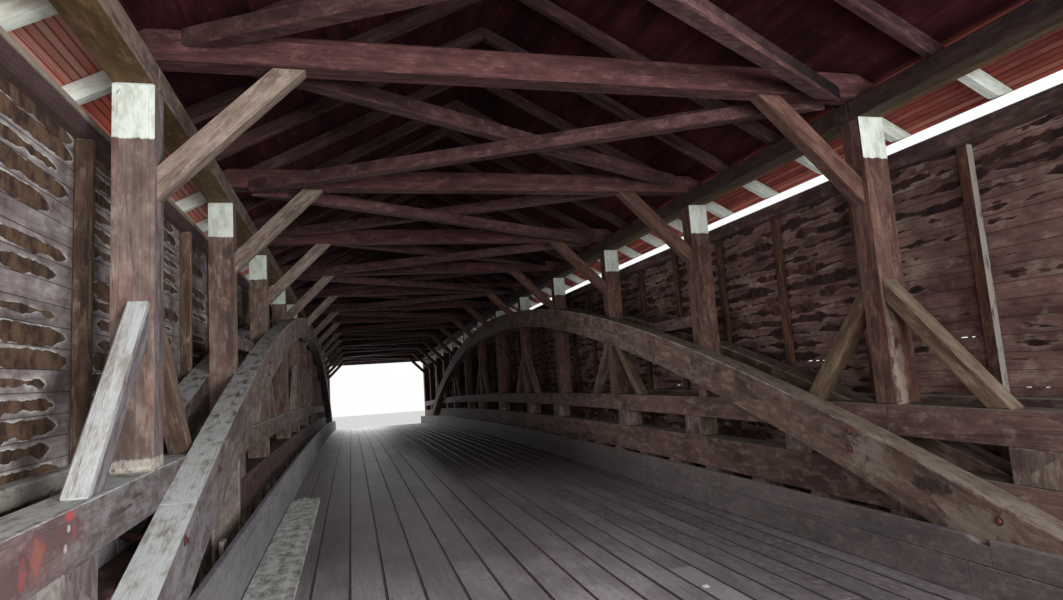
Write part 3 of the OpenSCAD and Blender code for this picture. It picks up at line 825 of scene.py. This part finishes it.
def stone(name, course_height=0.38, block_length=0.85):
    """Dressed stone laid in courses, with recessed joints."""
    g = Surface(name, "y")
    level = g.mul(g.h, 1 / course_height)
    course = g.floor(level)
    up = g.fract(level)
    along = g.add(g.mul(g.add(g.x, g.y), 1 / block_length), g.mul(course, 0.37))
    over = g.fract(along)
    first, second, _ = g.random(course, g.floor(along), 1.0)
    grit = g.cloud(5.0, 0.65, (g.x, 9.0), (g.y, 9.0), (g.h, 9.0))
    rock = g.cloud(3.0, 0.6, (g.x, 2.2), (g.y, 2.2), (g.h, 2.2))
    colour = g.blend(grit, 0.3, 0.7, (118, 112, 100), (168, 162, 148))
    colour = g.blend(rock, 0.5, 0.7, colour, (132, 128, 112))
    colour = g.vary(colour, first, 0.78, 1.12, 0.0, 1.0)
    gap = g.high(g.step(up, 0.045, 0.01), g.step(up, 0.965, 0.995),
                 g.step(over, 0.020, 0.004), g.step(over, 0.982, 0.997))
    colour = g.lay(colour, (92, 88, 80), gap, 0.75)
    height = g.sub(g.add(g.mul(grit, 0.5), g.mul(second, 0.4)), g.mul(gap, 1.4))
    return g.finish(colour, 0.9, height, 0.02)


STONE = stone("stone")


def iron(name):
    """Rusted iron of bolts, washers and the rod."""
    g = Surface(name, "y")
    pits = g.cloud(3.0, 0.6, (g.x, 90.0), (g.y, 90.0), (g.h, 90.0))
    colour = g.blend(pits, 0.35, 0.65, (56, 34, 34), (96, 56, 52))
    return g.finish(colour, 0.7, pits, 0.002)


IRON = iron("rusted_iron")

# Materials of the CAD nodes, by their names without the side or end
FINISH = {
    "posts": POSTS, "hip_beam": BEAMS, "lower_chord": BEAMS, "stub_posts": STUBS, "foot_blocks": STUBS,
    "top_plate": PLATE, "inner_arch": ARCHES, "outer_arch": ARCHES, "struts": STRUTS, "arch_blocks": RAILS,
    "knee_braces": KNEES, "rafters": RAFTERS, "roof": ROOF_BOARDS, "siding": GABLE, "studs": STUDS,
    "wall_rails": RAILS, "curb": CURBS, "tie_beams": TIES, "lateral_braces": LATERALS, "floor_beams": SILLS,
    "deck": PLANKS, "portal": GABLE, "abutment": STONE,
}
# How wide the worn edges are, and where they differ
WORN = 0.010
WORN_EDGE = {
    "wall_rails": 0.040, "inner_arch": 0.0012, "outer_arch": 0.0012, "hip_beam": 0.004, "lower_chord": 0.004,
}


def finish_nodes():
    """Gives every CAD node its material, joined edges and a small worn round on them."""
    words = (*SIDES.values(), *ENDS.values())
    for name, obj in NODES.items():
        word, _, rest = name.partition("_")
        family = rest if word in words else name
        obj.data.materials.clear()
        obj.data.materials.append(FINISH[family])
        weld = obj.modifiers.new("joined", "WELD")
        weld.merge_threshold = 0.0005
        bevel = obj.modifiers.new("worn", "BEVEL")
        bevel.width = WORN_EDGE.get(family, WORN)
        bevel.segments = 3 if family == "wall_rails" else 1
        bevel.limit_method = "ANGLE"
        bevel.angle_limit = math.radians(30)


# Pieces that take the place of plain CAD nodes

# Slits of light in the right wall next to the camera: height of the joint, then from y to y
SLITS = {
    1.54: [(-13.38, -13.28), (-13.74, -13.70), (-13.68, -13.61), (-13.91, -13.84), (-13.82, -13.80),
           (-13.79, -13.775)],
    1.18: [(-14.22, -14.18), (-14.165, -14.15), (-14.13, -14.115), (-14.10, -14.05)],
    1.42: [(-11.69, -11.64), (-11.62, -11.55), (-12.17, -12.08), (-12.05, -11.98), (-11.95, -11.87)],
    2.60: [(-14.012, -14.000)],
    2.25: [(-14.036, -14.026)],
    2.72: [(-11.66, -11.64)],
    1.89: [(-10.84, -10.82)],
    1.66: [(-11.39, -11.37)],
}
SLIT_GAP = 0.007
SLIT_END = 0.004


def wall_slits(side):
    """The slits of one wall by row of boards: those next to the camera and a few small ones farther on."""
    spots = [(y0, y1, h) for h, spans in SLITS.items() for y0, y1 in spans] if side > 0 else []
    for _ in range(26 if side > 0 else 12):
        y = random.uniform(-9.5, WALL_END - 1.0)
        spots.append((y, y + random.uniform(0.02, 0.12), random.uniform(0.6, 2.9)))
    rows = {}
    for y0, y1, h in spots:
        rows.setdefault(round((h + WALL_DROP) / BOARD_H), []).append((y0, y1))
    return rows


def wall_boards(side):
    """Horizontal boards butted behind the studs, their edges a little worn, with slits of light."""
    pile = Pile(f"{SIDES[side]}_wall_boards")
    top = WALL_TOP[side]
    slits = wall_slits(side)
    worn_in, worn_up = 0.003, 0.004
    for row in range(math.ceil((top + WALL_DROP) / BOARD_H)):
        lo = -WALL_DROP + row * BOARD_H
        hi = min(lo + BOARD_H, top)
        y = -WALL_END
        while y < WALL_END - 0.01:
            stud = round((y + random.uniform(2.4, 4.6) - STUD_AT[side]) / STUD_STEP[side])
            end = STUD_AT[side] + stud * STUD_STEP[side]
            if WALL_END - end < SHORTEST:
                end = WALL_END
            raised = {}
            for y0, y1 in sorted(slits.get(row, [])):
                if y + 0.03 < y0 and y1 < end - 0.03:
                    raised.update({y0 - SLIT_END: 0.0, y0: SLIT_GAP, y1: SLIT_GAP * 0.8, y1 + SLIT_END: 0.0})
            rings = []
            for q in sorted({*places(y, end), *raised}):
                foot = lo + raised.get(q, 0.0)
                rings.append(mirrored(side, q, [
                    (SIDING_IN + worn_in, foot), (SIDING_IN, foot + worn_up), (SIDING_IN, hi - worn_up),
                    (SIDING_IN + worn_in, hi), (SIDING_OUT, hi), (SIDING_OUT, foot)]))
            pile.sweep(rings)
            y = end
    pile.piece(WALLS[side], "weathered_boards", f"{SIDES[side]}_siding")


# Joints between the road planks: wide planks in the left lane, narrower ones of one width in the right
WIDE_EDGES = [-DECK_HALF, -1.955, -1.70, -1.43, -1.18, -0.92, -0.65, -0.40, -0.14, 0.12, 0.40]
NARROW = 9
PLANK_EDGES = WIDE_EDGES + [0.40 + (DECK_HALF - 0.40) * (i + 1) / NARROW for i in range(NARROW)]
HALF_JOINT = 0.004
PLANK_WEAR = 0.007


def road_planks():
    """Planks laid along the road, with worn upper edges, each lying a little lower or more tilted."""
    pile = Pile("road_planks")
    for x0, x1 in zip(PLANK_EDGES, PLANK_EDGES[1:]):
        a = x0 + (HALF_JOINT if x0 > -DECK_HALF else 0.0)
        b = x1 - (HALF_JOINT if x1 < DECK_HALF - 0.001 else 0.0)
        for y, end in lengths(DECK_END, 4.2, 6.2):
            left = -random.uniform(0.0, 0.004)
            right = left - random.uniform(0.0, 0.003)
            pile.board(1, y, end, [(a, -DECK_T), (a, left - PLANK_WEAR), (a + PLANK_WEAR, left),
                                   (b - PLANK_WEAR, right), (b, right - PLANK_WEAR), (b, -DECK_T)], 0.0015)
    pile.piece(PLANKS, "road_planks", "deck")


def joint_dirt():
    """Dirt packed between the planks, a little below their tops."""
    pile = Pile("joint_dirt")
    for x in PLANK_EDGES[1:-1]:
        corners = rect(x - HALF_JOINT, x + HALF_JOINT, -DECK_T, -PLANK_WEAR)
        pile.board(1, -DECK_END, DECK_END, corners, 0.0)
    pile.piece(JOINTS, "road_planks")


def loose_plank():
    """The plank that lies along the left curb, its far end broken, and a chip of wood on the road."""
    pile = Pile("loose_plank")
    strips, width, start = 6, 0.0575, -2.15
    for i in range(strips):
        a = start + i * width
        end = -7.95 + random.uniform(-0.18, 0.10)
        rings = [mirrored(1, q, rect(a, a + width, 0.001, 0.045)) for q in places(-13.75, end - 0.16, 0.0)]
        pile.sweep(rings + [mirrored(1, end, rect(a + 0.015, a + 0.040, 0.004, 0.036))])
    chip = ((-13.34, 0.830, 0.004), (-13.32, 0.822, 0.014), (-13.30, 0.836, 0.006))
    pile.sweep([mirrored(1, y, rect(x, x + 0.04, 0.001, top)) for y, x, top in chip])
    pile.piece(LOOSE, "road_planks")


# Joint between the two courses of each curb, from the road
CURB_SPLIT = {-1: 0.34, 1: 0.205}
# Where the upper course of the right curb has a butt joint, and how far it is worn down beyond it
CURB_JOINT = -14.31
CURB_DIP = {CURB_JOINT + 0.003: 0.040, CURB_JOINT + 0.07: 0.036, CURB_JOINT + 0.16: 0.004,
            CURB_JOINT + 0.24: 0.0}


def curb_boards(side):
    """A curb: a tall board with a narrower one above it."""
    pile = Pile(f"{SIDES[side]}_curb_boards")
    split = CURB_SPLIT[side]
    gap = 0.003
    for lo, hi, back in ((0.001, split - 0.002, 0.0), (split + 0.002, CURB_TOP[side], 0.002)):
        runs = lengths(WALL_END, 3.4, 5.6)
        dip = {}
        if side > 0 and back:
            runs = [(-WALL_END, CURB_JOINT)] + [(y, end) for y, end in runs if y > CURB_JOINT + 1.0]
            runs.insert(1, (CURB_JOINT, runs[1][0]))
            dip = CURB_DIP
        for y, end in runs:
            lift = random.uniform(0.0, 0.002)
            near = CURB_IN + back + lift
            rings = []
            for q in sorted({*places(y, end, gap), *(p for p in dip if y < p < end - gap)}):
                over = hi - dip.get(q, 0.0) - lift
                rings.append(mirrored(side, q, [(near, lo), (near, over - 0.006), (near + 0.006, over),
                                                (DECK_HALF, over), (DECK_HALF, lo)]))
            pile.sweep(rings)
    pile.piece(CURBS, "road_planks", f"{SIDES[side]}_curb")


def wall_rails(side):
    """Sill, middle rail and top rail of one wall, with rounded edges towards the road."""
    pile = Pile(f"{SIDES[side]}_rails")
    top = WALL_TOP[side]
    for lo, hi, soft in ((-DECK_T, SILL_TOP, 0.02), (MID_RAIL, MID_RAIL + 0.10, 0.025),
                         (top - TOP_RAIL[side], top, 0.045 if side < 0 else 0.02)):
        curve = [(soft * (1 - math.cos(a)), soft * (1 - math.sin(a))) for a in (0.0, 0.52, 1.05, math.pi / 2)]
        ring = [(RAIL_IN + h, lo + x) for x, h in curve] + [(RAIL_IN + x, hi - h) for x, h in curve]
        ring += [(RAIL_OUT, hi), (RAIL_OUT, lo)]
        for y, end in lengths(GABLE_IN, 6.0, 9.0):
            pile.board(side, y, end, ring)
    pile.piece(RAILS, "timber", f"{SIDES[side]}_wall_rails")


ROOF_BOARD = 0.126
PORTAL_BOARD = 0.21
COVER_T = 0.008
HALF_COVER = 0.025


def on_slope(corners):
    """Heights over the rafters' tops turned into heights over the road line."""
    return [(x, BOARDS_LO - SLOPE * x + h) for x, h in corners]


def roof_boards(side):
    """Boards laid across the rafters, seen from the road, with thin dark gaps."""
    pile = Pile(f"{SIDES[side]}_roof_boards")
    count = round(EAVE * UP / ROOF_BOARD)
    for i in range(count):
        gap = 0.0025 if i else 0.0
        x0, x1 = EAVE * i / count + gap, EAVE * (i + 1) / count
        for y, end in lengths(ROOF_END, 3.2, 6.4):
            lift = random.uniform(0.0, 0.003)
            pile.board(side, y, end, on_slope(rect(x0, x1, lift, 0.020 * UP)))
    pile.piece(ROOF_BOARDS, "painted_boards", f"{SIDES[side]}_roof")


def shingles(side):
    """Shingles in courses down the slope, with boards along the ridge."""
    pile = Pile(f"{SIDES[side]}_shingles")
    length = EAVE * UP
    courses = round(length / COURSE)
    for k in range(1, courses + 1):
        low = length * k / courses / UP
        high = max(low - 1.9 * COURSE / UP, 0.0)
        y = -ROOF_END
        while y < ROOF_END - END_GAP:
            end = min(y + random.uniform(0.11, 0.26), ROOF_END)
            if ROOF_END - end < 0.08:
                end = ROOF_END
            slip = random.uniform(0.0, 0.008) if k < courses else 0.0
            thick = random.uniform(0.010, 0.013)
            near, far = y + END_GAP, end - END_GAP
            rings = []
            for x, under, over in ((high, 0.021, 0.024), (low - slip, 0.028, 0.028 + thick)):
                z = BOARDS_LO - SLOPE * x
                corners = ((near, under), (near, over), (far, over), (far, under))
                ring = [(side * x, q, road_z(q) + z + n * UP) for q, n in corners]
                rings.append(ring[::-1] if side > 0 else ring)
            pile.sweep(rings)
            y = end
    ridge = on_slope(rect(0.0, 0.14, 0.031 * UP, 0.044 * UP))
    for y, end in lengths(ROOF_END, 2.4, 3.6):
        pile.board(side, y, end, ridge, 0.002)
    pile.piece(SHINGLES, "weathered_boards")


def portal_boards(end):
    """An end wall of upright boards with cover strips, around the opening for the road."""
    pile = Pile(f"{ENDS[end]}_portal_boards")
    z = road_z(GABLE_IN)
    roof = z + BOARDS_LO - 0.005
    inner, cover, outer = end * GABLE_IN, end * (GABLE_OUT - COVER_T), end * GABLE_OUT

    def upright(x0, x1, back, front):
        a, b = sorted((back, front))
        low = z + (PLATE_LO if abs(x0 + x1) / 2 < POST_IN else -WALL_DROP)
        corners = ((x0, a), (x0, b), (x1, b), (x1, a))
        pile.sweep([[(x, q, low) for x, q in corners],
                    [(x, q, roof - SLOPE * abs(x)) for x, q in corners]])

    marks = [-SIDING_OUT, -POST_IN, 0.0, POST_IN, SIDING_OUT]
    for x0, x1 in zip(marks, marks[1:]):
        n = round((x1 - x0) / PORTAL_BOARD)
        for i in range(n):
            a, b = x0 + (x1 - x0) * i / n, x0 + (x1 - x0) * (i + 1) / n
            upright(a + END_GAP, b - END_GAP, inner, cover)
            if i:
                upright(a - HALF_COVER, a + HALF_COVER, cover, outer)
    pile.piece(GABLE, "weathered_boards", f"{ENDS[end]}_portal")


def disc(pile, x, y, z, side, radius, thick, corners):
    """A flat round or many-cornered piece that stands on an upright face looking at the road."""
    rings = []
    for step in (0.0, thick):
        ring = []
        for k in range(corners):
            a = 2 * math.pi * k / corners
            ring.append((x - side * step, y + radius * math.cos(a), z + radius * math.sin(a)))
        rings.append(ring[::-1] if side > 0 else ring)
    pile.sweep(rings)


# Bolts of the near arches on each side, as y and height over the road
NEAR_BOLTS = {-1: [(-12.75, 0.99), (-13.69, 0.75)], 1: [(-13.21, 0.90), (-13.20, 0.77), (-14.36, 0.47)]}
WASHER_T = 0.004


def bolts():
    """Bolts with washers through the arches beside each splice."""
    pile = Pile("bolts")
    for side in SIDES:
        spots = [(y, road_z(y) + h) for y, h in NEAR_BOLTS[side]]
        for k in (-3, -2, -1, 1, 2, 3, 4):
            y = k * SPLICE - math.copysign(0.19, k)
            spots += [(y, arch_z(y, ARCH_R - ARCH_D * part)) for part in (0.34, 0.70)]
        for y, z in spots:
            y += random.uniform(-0.006, 0.006)
            disc(pile, side * ARCH_IN, y, z, side, 0.028, WASHER_T, 14)
            disc(pile, side * (ARCH_IN - WASHER_T), y, z, side, 0.016, 0.012, 6)
    pile.piece(IRON, "iron")


def rod():
    """The short rod between the left truss and the wall."""
    pile = Pile("wall_rod")
    radius, corners, height = 0.02, 10, 0.74
    ends = Vector((-2.44, -13.47, 0.0)), Vector((-2.80, -13.08, 0.0))
    along = ends[1] - ends[0]
    level = Vector((along.y, -along.x, 0.0)).normalized()
    rings = []
    for p in ends:
        middle = Vector((p.x, p.y, road_z(p.y) + height))
        turns = [2 * math.pi * k / corners for k in range(corners)]
        rings.append([middle + radius * (math.cos(a) * level + Vector((0, 0, math.sin(a)))) for a in turns])
    pile.sweep(rings)
    pile.piece(IRON, "iron")


def arch_panel():
    """A board and an upright lath under the left arch, and a broken scrap beside them."""
    pile = Pile("arch_panel")
    face = -POST_IN
    pile.sweep([mirrored(1, q, rect(face + 0.001, face + 0.022, 0.15, 0.85)) for q in (-11.98, -10.88)])
    pile.sweep([mirrored(1, q, rect(face + 0.001, face + 0.030, 0.12, 0.88)) for q in (-10.865, -10.81)])
    scrap = ((-12.26, 0.37, 0.44), (-12.16, 0.26, 0.44), (-12.06, 0.24, 0.31))
    pile.sweep([mirrored(1, q, rect(face + 0.10, face + 0.13, lo, hi)) for q, lo, hi in scrap])
    pile.piece(SCRAP, "weathered_boards")


# Camera and studio


def camera():
    """The camera stands a little left of the road's middle, just inside the near portal."""
    right = Vector((0.964512, -0.255258, -0.067520))
    up = Vector((0.032651, -0.138454, 0.989831))
    back = Vector((-0.262011, -0.956908, -0.125206))
    cam = bpy.data.cameras.new("camera")
    cam.sensor_width = 36.0
    cam.lens = 22.923
    cam.clip_start = 0.05
    cam.clip_end = 500.0
    obj = placed("camera", cam)
    pose = Matrix((right, up, back)).transposed().to_4x4()
    pose.translation = Vector((-1.3772, -17.5822, ROAD_Z + 1.2385))
    obj.matrix_world = pose
    bpy.context.scene.camera = obj


# Lamps let in at the portals, hidden from the camera: place and target with heights over the road at
# mid-span, size and watts
LAMPS = {
    "near_fill": ((1.9, -18.8, 1.9), (-2.4, -12.5, 1.3), (1.6, 2.2), 380.0),
    "near_soft": ((-0.8, -19.6, 1.7), (0.4, -8.0, 0.9), (3.6, 2.0), 235.0),
    "left_wash": ((0.05, -6.6, 1.5), (-2.3, -6.6, 1.3), (11.0, 1.6), 44.0),
    "right_wash": ((-0.05, -9.9, 1.5), (2.3, -9.9, 1.3), (6.0, 1.6), 34.0),
    "up_wash": ((0.0, -4.0, 0.06), (0.0, -4.0, 3.0), (3.0, 14.0), 25.0),
    "far_glare": ((-0.7, 21.5, 2.4), (-1.0, 8.0, 0.2), (2.4, 2.8), 250.0),
}


def lamp(name, place, target, size, watts):
    """A soft rectangular lamp."""
    data = bpy.data.lights.new(name, "AREA")
    data.shape = "RECTANGLE"
    data.size, data.size_y = size
    data.energy = watts
    obj = placed(name, data)
    obj.location = Vector(place) + Vector((0, 0, ROAD_Z))
    obj.rotation_mode = "QUATERNION"
    obj.rotation_quaternion = (Vector(target) - Vector(place)).to_track_quat("-Z", "Y")
    obj.visible_camera = False


def surroundings():
    """White all round, a little dimmer as light than to the camera's eye."""
    world = bpy.data.worlds.new("studio")
    bpy.context.scene.world = world
    g = Nodes(world)
    to_camera = g.node("LightPath").outputs["Is Camera Ray"]
    level = g.node("MapRange", [("Value", to_camera), ("To Min", 0.85), ("To Max", 1.0)]).outputs[0]
    white = g.node("Background", [("Color", (1.0, 1.0, 1.0)), ("Strength", level)]).outputs[0]
    g.node("OutputWorld", [(0, white)])


def ground():
    """The studio's pale floor."""
    mesh = bpy.data.meshes.new("floor")
    half = 150.0
    corners = [(-half, -half, 0), (half, -half, 0), (half, half, 0), (-half, half, 0)]
    mesh.from_pydata(corners, [], [(0, 1, 2, 3)])
    g = Graph("floor")
    g.put(g.shader.inputs["Base Color"], (0.80, 0.80, 0.79))
    g.put(g.shader.inputs["Roughness"], 0.9)
    mesh.materials.append(g.material)
    floor = placed("floor", mesh)


finish_nodes()
for SIDE in SIDES:
    wall_boards(SIDE)
    wall_rails(SIDE)
    roof_boards(SIDE)
    shingles(SIDE)
road_planks()
joint_dirt()
loose_plank()
for SIDE in SIDES:
    curb_boards(SIDE)
for END in ENDS:
    portal_boards(END)
bolts()
rod()
arch_panel()
camera()
surroundings()
ground()
for NAME, LAMP in LAMPS.items():
    lamp(NAME, *LAMP)
bpy.context.scene.view_settings.view_transform = "Standard"
